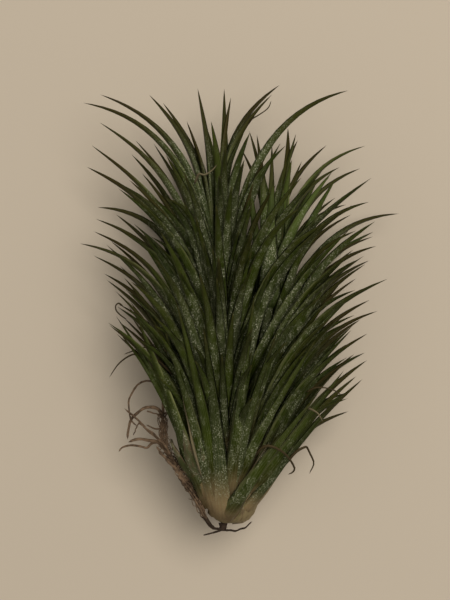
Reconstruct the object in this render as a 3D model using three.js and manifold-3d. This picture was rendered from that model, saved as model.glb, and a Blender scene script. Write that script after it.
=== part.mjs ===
// An air plant of the ionantha scaposa kind, picked from where it grew and lying on its side.
// The stem runs along +Y from the base to the growing tips, +X is the plant's right and +Z is up.
// A large main head and a smaller offset head share the base, which carries papery sheaths and wiry roots.
import * as THREE from "three";
import { mergeVertices } from "three/addons/utils/BufferGeometryUtils.js";
import Module from "manifold-3d";

const wasm = await Module();
wasm.setup();

// Sizes are in millimetres and angles in degrees.
const AXIS_HEIGHT = 41; // from the surface up to the main stem's middle
const MIDDLE = { x: 9.5, y: 94.45 }; // the middle of the plant's outline from the foot of its main stem
const GAP = 0.4; // between neighbouring pieces
const GOLDEN_ANGLE = 137.508; // from one leaf round the stem to the next

// A leaf's blade: its width, its width where it clasps the stem, and for what share of its length it clasps.
// Then its keel's depth, how much of that it loses by the tip, how far its root is sunk in, and its facets.
const BLADE = {
  width: 5,
  clasp: 7.2,
  claspLength: 0.3,
  keel: 1.5,
  thinning: 0.62,
  sunk: 1.6,
  sides: 3,
  steps: 6,
};

// How a leaf's line bends: the turn at its root and at its tip as shares of its bend, and how far along its
// length each of them pulls.
const BOW = { rootTurn: 0.8, tipTurn: 1.2, rootPull: 0.47, tipPull: 0.35 };

// How high over the surface and how far from the parting of the heads a leaf's line stays, by where along it.
const CLEAR = {
  root: { surface: 2.5, parting: 3 },
  bow: { surface: 0.3, parting: 2.6 },
  tip: { surface: 0.05, parting: 1.4 },
};

// Where along its length a leaf that comes down to the surface lies on its keel, and its line's height there.
const LYING = { share: 0.811, height: 0.35 };

// Where no filling leaf stands, by how squarely it faces that way: out to the head's own side, where the
// outline leaves are, and towards the other head above the height where the two part.
const LEFT_OUT = { ownSide: 0.84, otherHead: 0.72, partedAbove: 26 };

// How far a filling leaf leans and how long it is, along its stem from bottom to top.
const LEAN = [[0, 30], [0.4, 38], [0.75, 38], [0.9, 26], [1, 8]];
const LENGTH = [[0, 82], [0.3, 87], [0.75, 82], [1, 60]];
const TIP_DEPTH = 17; // how far an outline leaf's tip may stand over or under its stem

// The plane that parts the two heads, leaning so that the main head's leaves lie over the offset's.
// Above its end the offset has no leaves and the main head's longest ones arch across.
const PARTING = {
  point: new THREE.Vector3(12, 60, -3),
  normal: new THREE.Vector3(0.7, -0.03, -0.71).normalize(),
  end: 182,
};

// Each head: its stem's line and thickness, how many leaves fill it and how high on the stem they start, how
// far the lowest ones under it splay, and which side of the parting it is on.
const MAIN = {
  foot: new THREE.Vector3(1.5, 3, -1),
  top: new THREE.Vector3(0, 124, 0),
  profile: [
    [0, 2.6],
    [0.04, 7],
    [0.1, 11.6],
    [0.18, 14],
    [0.32, 13],
    [0.52, 9.4],
    [0.77, 6.6],
    [0.93, 3.6],
    [1, 0.6],
  ],
  leaves: 103,
  firstRoot: 9,
  lastRoot: 117,
  splay: 10,
  side: -1,
  seed: 1,
};
const OFFSET = {
  foot: new THREE.Vector3(8.8, 5, -6.8),
  top: new THREE.Vector3(24.5, 122, -13),
  profile: [
    [0, 2.2],
    [0.05, 7],
    [0.12, 11],
    [0.22, 12],
    [0.4, 9.6],
    [0.6, 7],
    [0.8, 5],
    [0.94, 3],
    [1, 0.6],
  ],
  leaves: 57,
  firstRoot: 8,
  lastRoot: 103,
  splay: 36,
  side: 1,
  seed: 2,
};

// The leaves that draw the plant's outline: tip x, tip y, height of the root on the stem and bend, and for a
// leaf that arches over the others the tip's height over the stem.
const MAIN_OUTLINE = [
  [-62, 187, 112, 37],
  [-54, 190, 114, 34],
  [-54.5, 178, 106, 22],
  [-59, 169, 108, 12],
  [-62, 160, 102, 18],
  [-33, 192, 115, 20],
  [-27, 189, 113, 18],
  [-16, 180, 110, 12],
  [-39, 171, 95, 18],
  [-31, 170, 92, 16],
  [-41, 165, 88, 18],
  [-36, 156, 80, 18],
  [-41, 152, 75, 24],
  [-55, 140, 82, 42],
  [-56, 135, 72, 30],
  [-47, 137, 66, 22],
  [-58, 130, 66, 27],
  [-51, 126, 57, 20],
  [-63, 124, 63, 34],
  [-58, 119, 54, 27],
  [-54, 111, 44, 26],
  [-52, 108, 38, 22],
  [-44, 109, 33, 18],
  [-47, 103, 28, 20],
  [-47, 97, 22, 32],
  [-47, 89, 16, 24],
  [-44, 91, 13, 20],
  [-50, 88, 10, 22],
  [-47, 84, 9, 18],
  [-36, 69, 8, 22],
  [-40, 77, 12, 18],
  [-42, 98, 20, 16],
  [-40, 91, 15, 14],
  [-36, 98, 16, 16],
  [-11, 194.6, 114, 6],
  [-8, 182, 108, 4],
  [1, 195.5, 116, -4],
  [4, 190, 115, 10],
  [26, 196, 115, 34],
  [22.5, 191, 112, 30],
  [55, 190, 110, 38, 28],
  [19, 162, 90, 16, 14],
  [14, 151, 82, 14, 20],
  [24, 150, 76, 20, 16],
  [9, 166, 100, 8, 12],
];
const OFFSET_OUTLINE = [
  [12.4, 176, 103, 12],
  [15.8, 174, 100, 8],
  [22.5, 169, 96, 5],
  [8.5, 169, 98, 20],
  [30.6, 179, 103, 28],
  [34, 175.5, 102, 12],
  [35, 173, 99, 30],
  [48, 170, 99, 30],
  [36.5, 162.5, 92, 16],
  [66, 170, 99, 40],
  [54, 160, 90, 36],
  [63, 159, 92, 36],
  [48, 154, 84, 28],
  [51, 145, 80, 34],
  [56, 142, 80, 46],
  [66, 143, 80, 38],
  [59, 138, 72, 34],
  [82, 139, 82, 36],
  [60, 130, 66, 36],
  [69, 128, 66, 34],
  [71.5, 124, 62, 32],
  [60, 122, 52, 24],
  [67, 117, 52, 30],
  [64, 115, 46, 26],
  [62, 109, 42, 26],
  [54, 106, 36, 20],
  [66, 105, 42, 28],
  [66, 99, 36, 28],
  [70, 94, 34, 32],
  [64, 90, 27, 24],
  [65, 84, 24, 24],
  [61, 74, 17, 14],
  [65, 72, 16, 14],
  [60, 65, 11, 10],
  [64, 63, 10, 8],
  [58, 48, 8, 24],
  [50, 59, 9, 4],
  [55, 70, 14, 22],
];

const radians = THREE.MathUtils.degToRad;

// A repeatable draw between -1 and 1 for a leaf's number and a salt.
function draw(number, salt) {
  const wave = Math.sin(number * 12.9898 + salt * 78.233) * 43758.5453;
  return 2 * (wave - Math.floor(wave)) - 1;
}

// A value read along a list of [position, value] pairs.
function along(pairs, position) {
  let last = pairs[0];
  for (const pair of pairs) {
    if (pair[0] >= position) {
      const share = (position - last[0]) / (pair[0] - last[0] || 1);
      return last[1] + share * (pair[1] - last[1]);
    }
    last = pair;
  }
  return last[1];
}

// A closed geometry as a solid that can be joined and cut.
function solidOf(geometry) {
  const bare = geometry.clone();
  bare.deleteAttribute("normal");
  bare.deleteAttribute("uv");
  const merged = mergeVertices(bare, 1e-4);
  const mesh = new wasm.Mesh({
    numProp: 3,
    vertProperties: new Float32Array(merged.attributes.position.array),
    triVerts: new Uint32Array(merged.index.array),
  });
  return new wasm.Manifold(mesh);
}

// The largest body of a solid as a geometry, with sealed hollows filled and loose scraps dropped.
function geometryOf(solid) {
  const bodies = solid.decompose();
  bodies.sort((a, b) => b.volume() - a.volume());
  const mesh = bodies[0].getMesh();
  const geometry = new THREE.BufferGeometry();
  geometry.setAttribute("position", new THREE.BufferAttribute(mesh.vertProperties, 3));
  geometry.setIndex(new THREE.BufferAttribute(mesh.triVerts, 1));
  return geometry;
}

function join(geometries) {
  return wasm.Manifold.union(geometries.map(solidOf));
}

// A head's stem direction, and the point on it at a height.
function stemDirection(head) {
  return head.top.clone().sub(head.foot).normalize();
}

function stemPoint(head, height) {
  const share = (height - head.foot.y) / (head.top.y - head.foot.y);
  return head.foot.clone().lerp(head.top, share);
}

function stemRadius(head, height) {
  return along(head.profile, (height - head.foot.y) / (head.top.y - head.foot.y));
}

// Moves a point straight up or down to its head's side of the parting, and up off the surface below it.
function keepClear(point, head, clear, surface = clear.surface) {
  const reach = point.clone().sub(PARTING.point).dot(PARTING.normal) * head.side;
  if (reach < clear.parting && point.y < PARTING.end) {
    point.z += ((clear.parting - reach) * head.side) / PARTING.normal.z;
  }
  point.z = Math.max(point.z, surface - AXIS_HEIGHT);
  return point;
}

// The height over the surface a leaf's bow takes so that the leaf lies on its keel near its tip.
function lyingBow(root, rise, tip) {
  const share = LYING.share;
  const rest = 1 - share;
  const others = rest ** 3 * root.z + 3 * rest ** 2 * share * rise.z + share ** 3 * tip.z;
  return (LYING.height - AXIS_HEIGHT - others) / (3 * rest * share ** 2) + AXIS_HEIGHT;
}

// A leaf from its head, root height, tip, bend and number: its middle line, crosswise direction and turn.
function leafFrom(head, height, tip, bend, number) {
  const axis = stemDirection(head);
  const heart = stemPoint(head, height);
  const out = tip.clone().sub(heart);
  const radial = out.clone().addScaledVector(axis, -out.dot(axis)).normalize();
  const root = heart.clone().addScaledVector(radial, stemRadius(head, height) - BLADE.sunk);
  const chord = tip.clone().sub(root);
  const across = new THREE.Vector3().crossVectors(axis, radial).normalize();
  const start = chord.clone().applyAxisAngle(across, radians(-BOW.rootTurn * bend));
  const end = chord.clone().applyAxisAngle(across, radians(BOW.tipTurn * bend));
  const rise = keepClear(root.clone().addScaledVector(start, BOW.rootPull), head, CLEAR.root);
  const bow = keepClear(tip.clone().addScaledVector(end, -BOW.tipPull), head, CLEAR.bow);
  const point = keepClear(tip.clone(), head, CLEAR.tip);
  if (point.z === CLEAR.tip.surface - AXIS_HEIGHT) {
    const height = lyingBow(root, rise, point);
    bow.z = height - AXIS_HEIGHT;
    keepClear(bow, head, CLEAR.bow, height);
  }
  const line = new THREE.CubicBezierCurve3(root, rise, bow, point);
  return { line, across, twist: 24 * draw(number, 5), width: 1 + 0.1 * draw(number, 6) };
}

// The leaves that fill a head between those that draw its outline, set round the stem by the golden angle.
function fillingLeaves(head) {
  const leaves = [];
  const axis = stemDirection(head);
  const right = new THREE.Vector3(1, 0, 0).addScaledVector(axis, -axis.x).normalize();
  for (let number = 0; number < head.leaves; number += 1) {
    const share = (number + 0.5) / head.leaves;
    const height = head.firstRoot + share * (head.lastRoot - head.firstRoot);
    const turn = number * GOLDEN_ANGLE + 40 * head.seed + 6 * draw(number, 1 + head.seed);
    const radial = right.clone().applyAxisAngle(axis, -radians(turn));
    const inOutline = radial.x * head.side > LEFT_OUT.ownSide;
    const facesOther = -radial.dot(PARTING.normal) * head.side > LEFT_OUT.otherHead;
    if (inOutline || (facesOther && height > LEFT_OUT.partedAbove)) continue;
    const splay = head.splay * Math.max(0, -radial.z) ** 2 * Math.max(0, 1 - share / 0.5);
    const lean = along(LEAN, share) * (1 + 0.14 * draw(number, 3)) + splay;
    const length = along(LENGTH, share) * (1 + 0.07 * draw(number, 4));
    const tip = stemPoint(head, height)
      .addScaledVector(axis, length * Math.cos(radians(lean)))
      .addScaledVector(radial, length * Math.sin(radians(lean)) + stemRadius(head, height));
    leaves.push(leafFrom(head, height, tip, 20 + 8 * draw(number, 7) + 0.6 * splay, number));
  }
  return leaves;
}

// The leaves that draw a head's outline, their tips at different depths.
function outlineLeaves(head, rows) {
  return rows.map(([x, y, height, bend, z], row) => {
    const number = 200 + row;
    const tip = new THREE.Vector3(x, y, z ?? stemPoint(head, height).z + TIP_DEPTH * draw(number, 8));
    return leafFrom(head, height, tip, bend, number);
  });
}

// Half of a leaf's width at a share of its length.
function halfWidthAt(share) {
  const clasp = (BLADE.clasp - BLADE.width) * Math.max(0, 1 - share / BLADE.claspLength) ** 1.5;
  return 0.5 * (clasp + BLADE.width * (1 - share ** 2.2));
}

// A keeled blade along a leaf's line: a cone with few sides whose corners are moved onto the leaf.
function bladeGeometry(leaf) {
  const geometry = new THREE.ConeGeometry(1, 1, BLADE.sides, BLADE.steps);
  const position = geometry.getAttribute("position");
  const corner = new THREE.Vector3();
  for (let i = 0; i < position.count; i += 1) {
    corner.fromBufferAttribute(position, i);
    const share = (corner.y + 0.5) ** 1.15;
    const radius = Math.hypot(corner.x, corner.z) || 1;
    const crosswise = corner.x / radius;
    const onKeel = corner.z / radius > 0.9;
    const tangent = leaf.line.getTangent(share);
    const across = leaf.across.clone().addScaledVector(tangent, -leaf.across.dot(tangent)).normalize();
    across.applyAxisAngle(tangent, radians(leaf.twist * share));
    const under = new THREE.Vector3().crossVectors(across, tangent);
    const point = leaf.line.getPoint(share);
    point.addScaledVector(across, crosswise * halfWidthAt(share) * leaf.width);
    if (onKeel) point.addScaledVector(under, BLADE.keel * (1 - BLADE.thinning * share));
    position.setXYZ(i, point.x, point.y, point.z);
  }
  return geometry;
}

// The mass of tightly clasping sheaths round a head's stem, which its blades stand out of.
function stemGeometry(head) {
  const length = head.top.distanceTo(head.foot);
  const points = head.profile.map(([share, radius]) => new THREE.Vector2(radius, share * length));
  points.unshift(new THREE.Vector2(0, 0));
  points.push(new THREE.Vector2(0, length));
  const geometry = new THREE.LatheGeometry(points, 10);
  const turn = new THREE.Quaternion().setFromUnitVectors(new THREE.Vector3(0, 1, 0), stemDirection(head));
  return geometry.applyQuaternion(turn).translate(head.foot.x, head.foot.y, head.foot.z);
}

// Blocks that cut away all that lies under the surface, or past a head's side of the parting.
function underSurface() {
  return solidOf(new THREE.BoxGeometry(400, 500, 40).translate(0, 90, -AXIS_HEIGHT - 20));
}

function pastParting(head) {
  const length = 300;
  const block = new THREE.BoxGeometry(400, length, 100);
  block.translate(0, PARTING.end - PARTING.point.y - length / 2, 50 - GAP / 2);
  const turn = new THREE.Quaternion().setFromUnitVectors(
    new THREE.Vector3(0, 0, 1),
    PARTING.normal.clone().multiplyScalar(-head.side),
  );
  block.applyQuaternion(turn);
  return solidOf(block.translate(PARTING.point.x, PARTING.point.y, PARTING.point.z));
}

function headGeometry(head, rows) {
  const leaves = [...outlineLeaves(head, rows), ...fillingLeaves(head)];
  const whole = join([stemGeometry(head), ...leaves.map((leaf) => bladeGeometry(leaf))]);
  return geometryOf(whole.subtract(underSurface()).subtract(pastParting(head)));
}

// The old outer sheaths: a bowl round the foot of both heads, whose wall parts into uneven lapping points.
const BOWL = {
  middle: new THREE.Vector3(4.5, 0, -3),
  long: 12.8,
  short: 9.4,
  slant: Math.atan2(-7, 9),
  rim: 7,
};
// How far out of the rim's own oval the wall stands at its long ends, by height, and the share of that which
// is lost at its short ends.
const FLARE = [[7, 0], [11, 3.7], [18, 8.7], [24, 13.4], [34, 20]];
const FLARE_LOSS = 0.28;
// The points of the wall: how many, how high and by what share that varies, how low the wall parts between
// them, how far one laps over the next, and how many steps make each.
const SHEATHS = { count: 9, height: 25, uneven: 0.3, valley: 0.4, overlap: 1, steps: 4 };
// Each corner of the wall's section: the share of the half width, its height on the bowl, the share it has of
// the way from the rim to a sheath's point, and how far inside the outer face it lies.
const BOWL_SECTION = [
  [0, -1.8, 0, 0],
  [0.42, -1.3, 0, 0],
  [0.7, 0.5, 0, 0],
  [0.87, 3.4, 0, 0],
  [0.98, 7, 0, 0],
  [1, 7, 0.33, 0],
  [1, 7, 0.66, 0],
  [1, 7, 1, 0],
  [1, 7, 0.97, 0.7],
  [1, 7, 0.66, 0.9],
  [1, 7, 0.33, 0.9],
  [0.9, 7, 0, 0],
  [0.78, 4, 0, 0],
  [0.55, 1.8, 0, 0],
  [0, 1.2, 0, 0],
];

function sheathGeometry() {
  const profile = BOWL_SECTION.map(([across, up]) => new THREE.Vector2(across, up));
  const geometry = new THREE.LatheGeometry(profile, SHEATHS.count * SHEATHS.steps);
  const position = geometry.getAttribute("position");
  for (let i = 0; i < position.count; i += 1) {
    const [across, up, level, inside] = BOWL_SECTION[i % BOWL_SECTION.length];
    const column = Math.floor(i / BOWL_SECTION.length) % (SHEATHS.count * SHEATHS.steps);
    const turn = (-column / (SHEATHS.count * SHEATHS.steps)) * 2 * Math.PI;
    const phase = (column % SHEATHS.steps) / SHEATHS.steps;
    const number = Math.floor(column / SHEATHS.steps);
    const point = 1 - Math.abs(2 * phase - 1);
    const pointed = SHEATHS.valley + (1 - SHEATHS.valley) * point;
    const top = SHEATHS.height * pointed * (1 + SHEATHS.uneven * draw(number, 11) * point);
    const height = up + level * (top - BOWL.rim);
    const flare = along(FLARE, height) * (1 - FLARE_LOSS * Math.sin(turn) ** 2);
    const past = flare - inside + SHEATHS.overlap * (phase - 0.4) * level;
    const out = new THREE.Vector2(Math.cos(turn) / BOWL.long, Math.sin(turn) / BOWL.short).normalize();
    const x = across * BOWL.long * Math.cos(turn) + out.x * past;
    const z = across * BOWL.short * Math.sin(turn) + out.y * past;
    position.setXYZ(i, x, height, z);
  }
  geometry.rotateY(-BOWL.slant);
  return geometry.translate(BOWL.middle.x, BOWL.middle.y, BOWL.middle.z);
}

// The woody stub at the foot and its wiry roots: each root's middle line from where it leaves the others.
const STUB = { radius: 2.6, from: -5.4, to: -2.3, x: 0.5, z: -1 };
const ROOT_STEP = 3.5; // between one bend of a root and the next
const ROOTS = [
  {
    thick: 2,
    points: [
      [0.5, -4, -1], [-4, -3.6, 0.5], [-7.2, 1, 3], [-10.6, 8, 5], [-15, 15, 6.5], [-18.4, 21, 6.5],
      [-21.4, 26.5, 6], [-24.4, 31, 5], [-26, 38, 3], [-26.5, 47, 1],
    ],
  },
  {
    thick: 1.1,
    points: [
      [-26.5, 46, 1], [-26.8, 55, 0], [-29.3, 61.2, -1], [-33.3, 62.6, -1], [-37.8, 60.8, 0],
      [-40.5, 57.2, 1], [-41.9, 53.6, 2], [-41.6, 49, 3], [-40.5, 45, 4], [-37.4, 42.1, 4],
    ],
  },
  {
    thick: 1.6,
    points: [
      [-26.3, 46, 1], [-28, 49.4, 3], [-30.6, 50.9, 4], [-34.2, 50.9, 5], [-37.8, 48.6, 5],
      [-40, 46.4, 4], [-41.4, 43.2, 3], [-42.3, 39.6, 2], [-42.3, 36.2, 2],
    ],
  },
  {
    thick: 1.3,
    points: [
      [-21.4, 26.5, 6], [-24.8, 33.2, 6.5], [-28.8, 37.4, 6.5], [-32.9, 40.5, 7], [-35.6, 43.7, 7],
      [-39.6, 47.3, 7], [-43.7, 50.9, 8],
    ],
  },
  {
    thick: 1,
    points: [
      [-26.4, 46, 1], [-27.4, 41.6, 0], [-30.2, 41, -1], [-34.2, 42.8, -2],
    ],
  },
  {
    thick: 1.8,
    points: [
      [-21.4, 26.5, 6], [-25.4, 32, 3], [-29.3, 35.1, 0], [-34.2, 36, -1], [-38.7, 36.2, -1],
      [-42.3, 34.9, -1],
    ],
  },
  {
    thick: 1.2,
    points: [
      [-29.3, 35.1, 0], [-32, 34.2, -2], [-33.8, 32.2, -3], [-36.9, 32.9, -3], [-41, 33.3, -4],
      [-45, 32.4, -4], [-46.8, 30.2, -4],
    ],
  },
  {
    thick: 1,
    points: [
      [-24.4, 31, 5], [-26.4, 33.6, 0], [-27.3, 36.9, -4], [-27.1, 41.6, 0],
    ],
  },
  {
    thick: 1.5,
    points: [
      [-18.4, 21, 6.5], [-23.2, 26.6, 9], [-26.8, 30.4, 8.6], [-29.3, 33.8, 7],
    ],
  },
  {
    thick: 1,
    points: [
      [0.5, -4.4, -1], [-4, -5.6, 1], [-8.5, -6.6, 2],
    ],
  },
  {
    thick: 1,
    points: [
      [0.5, -4.4, -1], [4.5, -4.4, 3], [9.5, -3, 6.5], [13.5, 0.5, 9],
    ],
  },
];

function rootGeometry() {
  const stub = new THREE.CylinderGeometry(STUB.radius, STUB.radius * 0.7, STUB.to - STUB.from, 7);
  const pieces = [stub.translate(STUB.x, (STUB.to + STUB.from) / 2, STUB.z)];
  for (const { thick, points } of ROOTS) {
    const places = points.map((point) => new THREE.Vector3(...point));
    const line = new THREE.CatmullRomCurve3(places, false, "centripetal");
    const half = thick / 2;
    const section = new THREE.Shape();
    section.moveTo(half, 0);
    section.lineTo(0, half);
    section.lineTo(-half, 0);
    section.lineTo(0, -half);
    const steps = Math.round(line.getLength() / ROOT_STEP);
    pieces.push(new THREE.ExtrudeGeometry(section, { steps, extrudePath: line }));
  }
  return geometryOf(join(pieces));
}

const leafGreen = new THREE.MeshStandardMaterial({ color: 0x3a4424, roughness: 0.75, metalness: 0 });
const sheathPale = new THREE.MeshStandardMaterial({ color: 0x8c8262, roughness: 0.85, metalness: 0 });
const rootBrown = new THREE.MeshStandardMaterial({ color: 0x54402c, roughness: 0.9, metalness: 0 });
const plant = new THREE.Group();
const lying = new THREE.Group();
lying.position.set(-MIDDLE.x, -MIDDLE.y, AXIS_HEIGHT);
plant.add(lying);

function addPiece(name, geometry, material) {
  const mesh = new THREE.Mesh(geometry, material);
  mesh.name = name;
  lying.add(mesh);
}

addPiece("main_head", headGeometry(MAIN, MAIN_OUTLINE), leafGreen);
addPiece("offset_head", headGeometry(OFFSET, OFFSET_OUTLINE), leafGreen);
addPiece("base_sheaths", sheathGeometry(), sheathPale);
addPiece("roots", rootGeometry(), rootBrown);

export default plant;
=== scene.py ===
import math

import bmesh
import bpy
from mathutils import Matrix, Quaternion, Vector


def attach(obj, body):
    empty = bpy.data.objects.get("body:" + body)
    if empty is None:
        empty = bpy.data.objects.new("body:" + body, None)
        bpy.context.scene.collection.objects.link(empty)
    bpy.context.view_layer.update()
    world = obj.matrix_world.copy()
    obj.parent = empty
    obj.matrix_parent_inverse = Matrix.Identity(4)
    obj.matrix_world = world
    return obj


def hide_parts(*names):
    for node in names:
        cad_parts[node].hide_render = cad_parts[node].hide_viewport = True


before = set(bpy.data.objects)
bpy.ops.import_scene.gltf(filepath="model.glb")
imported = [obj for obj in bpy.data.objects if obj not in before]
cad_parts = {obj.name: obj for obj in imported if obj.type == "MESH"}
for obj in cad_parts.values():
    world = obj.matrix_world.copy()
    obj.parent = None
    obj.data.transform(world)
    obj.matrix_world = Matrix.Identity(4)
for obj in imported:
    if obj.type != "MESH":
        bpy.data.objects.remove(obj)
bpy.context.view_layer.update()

rad = math.radians
mm = 0.001

plant = {
    "axisHeight": 41,  # from the surface up to the main stem
    "middle": (9.5, 94.45),  # middle of the plant's outline from the foot of the main stem
    "leastHeight": 0.04,  # nothing comes nearer the surface
    # the leaning plane that parts the two heads, and how far up it reaches
    "partingPoint": Vector((12, 60, -3)),
    "partingNormal": Vector((0.7, -0.03, -0.71)).normalized(),
    "partingEnd": 182,
    "goldenAngle": 137.508,  # from one leaf to the next round a stem
}
firstNumber = {"outline": 200, "covering": 400, "front": 600}  # keeps each kind of leaf to draws of its own


def inFrame(point):
    x, y = plant["middle"]
    return Vector((point.x - x, point.y - y, point.z + plant["axisHeight"])) * mm


def draw(number, salt):  # a repeatable draw between -1 and 1, with a salt for each thing that is drawn
    wave = math.sin(number * 12.9898 + salt * 78.233) * 43758.5453
    return 2 * (wave - math.floor(wave)) - 1


def drawn(pair, number, salt):  # a draw round a middle value, from a (middle, spread) pair
    middle, spread = pair
    return middle + spread * draw(number, salt)


def along(pairs, position):  # a value read along a list of (position, value) pairs
    last = pairs[0]
    for pair in pairs:
        if pair[0] >= position:
            share = (position - last[0]) / ((pair[0] - last[0]) or 1)
            return last[1] + share * (pair[1] - last[1])
        last = pair
    return last[1]


def turned(vector, axis, degrees):
    return Quaternion(axis, rad(degrees)) @ vector


mainHead = {
    "foot": Vector((1.5, 3, -1)),
    "top": Vector((0, 124, 0)),
    # the stem's radius with its clasping leaf bases, by the share of the way up
    "profile": [(0, 2.6), (0.04, 7), (0.1, 11.6), (0.18, 14), (0.32, 13), (0.52, 9.4), (0.77, 6.6),
                (0.93, 3.6), (1, 0.6)],
    "leaves": 103,  # places round the stem for the leaves inside the outline
    "firstRoot": 9,  # heights of the lowest and the highest leaf root
    "lastRoot": 117,
    "splay": 10,  # how many degrees further out the low leaves underneath lean
    "side": -1,  # its side of the parting
    "seed": 1,
    # tip x, tip y, root height, bend, and for an arching leaf the tip's height over the stem
    "outline": [
        (-62, 187, 112, 37), (-54, 190, 114, 34), (-54.5, 178, 106, 22), (-59, 169, 108, 12),
        (-62, 160, 102, 18), (-33, 192, 115, 20), (-27, 189, 113, 18), (-16, 180, 110, 12),
        (-39, 171, 95, 18), (-31, 170, 92, 16), (-41, 165, 88, 18), (-36, 156, 80, 18),
        (-41, 152, 75, 24), (-55, 140, 82, 42), (-56, 135, 72, 30), (-47, 137, 66, 22),
        (-58, 130, 66, 27), (-51, 126, 57, 20), (-63, 124, 63, 34), (-58, 119, 54, 27),
        (-54, 111, 44, 26), (-52, 108, 38, 22), (-44, 109, 33, 18), (-47, 103, 28, 20),
        (-47, 97, 22, 32), (-47, 89, 16, 24), (-44, 91, 13, 20), (-50, 88, 10, 22),
        (-47, 84, 9, 18), (-36, 69, 8, 22), (-40, 77, 12, 18), (-42, 98, 20, 16),
        (-40, 91, 15, 14), (-36, 98, 16, 16), (-11, 194.6, 114, 6), (-8, 182, 108, 4),
        (1, 195.5, 116, -4), (4, 190, 115, 10), (26, 196, 115, 34), (22.5, 191, 112, 30),
        (55, 190, 110, 38, 28), (19, 162, 90, 16, 14), (14, 151, 82, 14, 20), (24, 150, 76, 20, 16),
        (9, 166, 100, 8, 12),
    ],
    "covering": 130,  # leaves that lap over the others
    "coveringSpan": (0.02, 0.86),  # the stretch of the stem that they stand on, in shares
    "coveringRoom": (-60, 13),  # how far to the left and right their tips may come
    # the broad leaves that clasp the foot in front: four guide points of the leaf's line, then its width
    # and how green it is
    "front": [
        ((-6, 8, 4), (-12, 24, 16), (-19, 48, 21), (-36, 86, 16), 1.3, 0.4),
        ((-8, 7, -1), (-14, 20, 8), (-19, 42, 12), (-27, 75, 10), 1.1, 0.3),
        ((-7, 12, 8), (-14, 30, 17), (-22, 58, 20), (-45, 84, 12), 1, 0.1),
        ((-8, 18, 8), (-16, 40, 16), (-26, 66, 20), (-47, 92, 12), 1, -0.1),
        ((-3, 6, 6), (-7, 24, 20), (-12, 50, 27), (-26, 90, 32), 1.2, -0.2),
        ((0, 3, 5), (-1, 20, 20), (-2, 50, 29), (-8, 88, 40), 1.5, -1),
        ((3, 8, 7), (6, 26, 20), (10, 48, 29), (24, 86, 38), 1.2, -0.4),
        ((-2, 12, 11), (-4, 30, 23), (-8, 56, 31), (-20, 100, 40), 1.1, 0.4),
        ((4, 14, 12), (6, 34, 25), (8, 60, 35), (14, 102, 48), 1.1, 0.2),
        ((-9, 16, 9), (-15, 34, 19), (-21, 58, 24), (-38, 94, 26), 1.1, 0.5),
    ],
    "fresh": 0.2,  # how light a green its leaves are
}
offsetHead = {  # the smaller second head, with the same kinds of values
    "foot": Vector((8.8, 5, -6.8)),
    "top": Vector((24.5, 122, -13)),
    "profile": [(0, 2.2), (0.05, 7), (0.12, 11), (0.22, 12), (0.4, 9.6), (0.6, 7), (0.8, 5),
                (0.94, 3), (1, 0.6)],
    "leaves": 57,
    "firstRoot": 8,
    "lastRoot": 103,
    "splay": 36,
    "side": 1,
    "seed": 2,
    "outline": [
        (12.4, 176, 103, 12), (15.8, 174, 100, 8), (22.5, 169, 96, 5), (8.5, 169, 98, 20),
        (30.6, 179, 103, 28), (34, 175.5, 102, 12), (35, 173, 99, 30), (48, 170, 99, 30),
        (36.5, 162.5, 92, 16), (66, 170, 99, 40), (54, 160, 90, 36), (63, 159, 92, 36),
        (48, 154, 84, 28), (51, 145, 80, 34), (56, 142, 80, 46), (66, 143, 80, 38),
        (59, 138, 72, 34), (82, 139, 82, 36), (60, 130, 66, 36), (69, 128, 66, 34),
        (71.5, 124, 62, 32), (60, 122, 52, 24), (67, 117, 52, 30), (64, 115, 46, 26),
        (62, 109, 42, 26), (54, 106, 36, 20), (66, 105, 42, 28), (66, 99, 36, 28),
        (70, 94, 34, 32), (64, 90, 27, 24), (65, 84, 24, 24), (61, 74, 17, 14),
        (65, 72, 16, 14), (60, 65, 11, 10), (64, 63, 10, 8), (58, 48, 8, 24),
        (50, 59, 9, 4), (55, 70, 14, 22),
    ],
    "covering": 90,
    "coveringSpan": (0.02, 0.64),
    "coveringRoom": (8, 60),
    "front": [
        ((2.5, 2.5, 4), (8, 14, 16.5), (17, 28, 22), (42, 58, 22), 1.4, 0.3),
        ((9, 4, -1), (17, 14, 7), (27, 28, 9), (50, 54, 6), 1.1, -0.6),
        ((5, 13, 9), (11, 32, 20), (21, 52, 26), (42, 84, 30), 1.15, 0.3),
        ((12, 12, 3), (22, 26, 11), (33, 42, 15), (54, 68, 14), 1.1, 0.5),
        ((21, 94, -4), (21, 112, 20), (20.5, 128, 27), (22.5, 152, 22), 1.5, -1),
        ((22, 96, -3), (24, 116, 10), (30, 134, 14), (49, 156, 12), 1.2, 0),
        ((24, 96, -4), (26, 114, 5), (30, 132, 9), (42, 151, 8), 1.1, 0.2),
        ((20, 90, -4), (18, 108, 4), (15, 128, 6), (12, 154, 2), 1.1, 0.5),
    ],
    "fresh": 1,
}
clear = {  # how far a leaf's line keeps off the surface and off the parting of the heads
    "root": (2.5, 3),
    "bow": (0.3, 2.6),
    "tip": (0.05, 1.4),
}


def keepClear(point, head, kind, surface=None):
    low, margin = clear[kind]
    normal = plant["partingNormal"]
    reach = (point - plant["partingPoint"]).dot(normal) * head["side"]
    if reach < margin and point.y < plant["partingEnd"]:
        point.z += (margin - reach) * head["side"] / normal.z
    point.z = max(point.z, (low if surface is None else surface) - plant["axisHeight"])
    return point


def stemDirection(head):
    return (head["top"] - head["foot"]).normalized()


def stemPoint(head, height):
    share = (height - head["foot"].y) / (head["top"].y - head["foot"].y)
    return head["foot"].lerp(head["top"], share)


def stemRadius(head, height):
    return along(head["profile"], (height - head["foot"].y) / (head["top"].y - head["foot"].y))


def rootHeight(head, share):  # from the lowest leaf root to the highest
    return head["firstRoot"] + share * (head["lastRoot"] - head["firstRoot"])


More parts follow.
